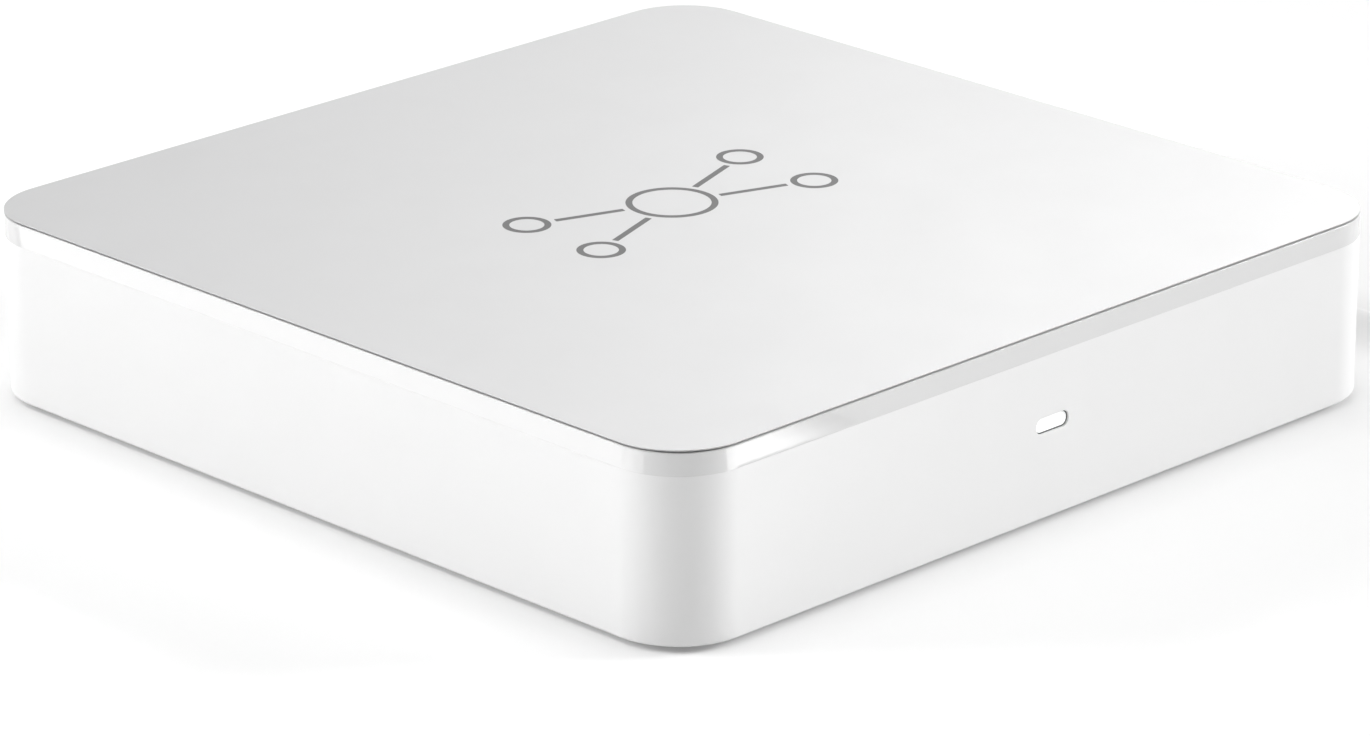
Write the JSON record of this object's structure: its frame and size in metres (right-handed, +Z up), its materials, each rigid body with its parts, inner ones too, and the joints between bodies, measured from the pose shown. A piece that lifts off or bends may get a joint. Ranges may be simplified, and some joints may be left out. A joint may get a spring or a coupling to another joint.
{
  "type": "smart home hub",
  "caption": "Low square smart home hub with a thin satin top plate, glossy band, pill-shaped front status light, rear sockets and a sprung reset button.",
  "frame": {"origin": "on the table under the middle of the hub, in the plane of the feet", "axes": "+Z up through the top plate, -Y out of the front wall with the status light, +Y out of the rear wall with the sockets, +X to the right seen from the front"},
  "size_m": [0.144, 0.144, 0.0286],
  "materials": {
    "satin_plate": "fine satin silver-white paint on thin aluminium, soft sheen",
    "adhesive_grey": "dark grey double-sided adhesive sheet",
    "gloss_white": "high-gloss white moulded plastic",
    "satin_white": "satin white moulded plastic with a very fine spark texture",
    "light_guide": "milky white diffusing acrylic",
    "label_grey": "blank satin silver-grey film label",
    "rubber_grey": "matt grey rubber",
    "zinc_steel": "bright zinc-plated steel",
    "circuit_board": "green solder mask with copper traces",
    "chip_plastic": "matt black moulding compound",
    "led_ceramic": "pale ceramic LED body",
    "tinned_metal": "tinned sheet metal",
    "aluminium": "bare aluminium",
    "thermal_pad": "soft blue-grey silicone",
    "copper": "bare copper wire",
    "gold": "gold-plated spring metal",
    "black_plastic": "black moulded plastic",
    "cable_black": "black cable jacket",
    "button_grey": "grey moulded plastic",
    "link_green": "unlit green light window",
    "activity_amber": "unlit amber light window"
  },
  "bodies": {
    "housing": {"top_plate": "satin_plate", "plate_adhesive": "adhesive_grey", "top_cover": "gloss_white", "side_casing": "satin_white", "base_cover": "satin_white", "light_pipe": "light_guide", "rating_label": "label_grey", "foot_front_left": "rubber_grey", "foot_front_right": "rubber_grey", "foot_rear_left": "rubber_grey", "foot_rear_right": "rubber_grey", "case_screw_front_left": "zinc_steel", "case_screw_front_right": "zinc_steel", "case_screw_rear_left": "zinc_steel", "case_screw_rear_right": "zinc_steel", "board_screw_front_left": "zinc_steel", "board_screw_front_right": "zinc_steel", "board_screw_rear_left": "zinc_steel", "board_screw_rear_right": "zinc_steel", "main_board": "circuit_board", "wireless_module_board": "circuit_board", "mesh_radio_board": "circuit_board", "long_range_radio_board": "circuit_board", "wireless_antenna": "circuit_board", "processor": "chip_plastic", "memory_chip_1": "chip_plastic", "memory_chip_2": "chip_plastic", "flash_chip": "chip_plastic", "power_inductor": "chip_plastic", "network_transformer": "chip_plastic", "status_led": "led_ceramic", "crystal": "tinned_metal", "wireless_module_can": "tinned_metal", "mesh_radio_can": "tinned_metal", "long_range_radio_can": "tinned_metal", "ethernet_shield": "tinned_metal", "usb_shell": "tinned_metal", "power_jack_pin": "tinned_metal", "heat_sink": "aluminium", "capacitor_1": "aluminium", "capacitor_2": "aluminium", "thermal_pad": "thermal_pad", "long_range_antenna": "copper", "mesh_antenna": "gold", "ethernet_contacts": "gold", "ethernet_insert": "black_plastic", "usb_insulator": "black_plastic", "power_jack_body": "black_plastic", "switch_body": "black_plastic", "antenna_cable": "cable_black", "ethernet_link_light": "link_green", "ethernet_activity_light": "activity_amber"},
    "reset_button": {"reset_button": "button_grey"},
    "switch_plunger": {"switch_plunger": "black_plastic"}
  },
  "joints": [
    {"name": "reset_button_press", "type": "slide", "parent": "housing", "child": "reset_button", "axis": [0, -1, 0], "range_m": [0, 0.0005], "stiffness_N_per_m": 300, "springref_m": -0.003},
    {"name": "switch_plunger_press", "type": "slide", "parent": "housing", "child": "switch_plunger", "axis": [0, -1, 0], "range_m": [0, 0.0005]}
  ],
  "couplings": [
    {"joint": "switch_plunger_press", "follows": "reset_button_press", "ratio": 1}
  ]
}
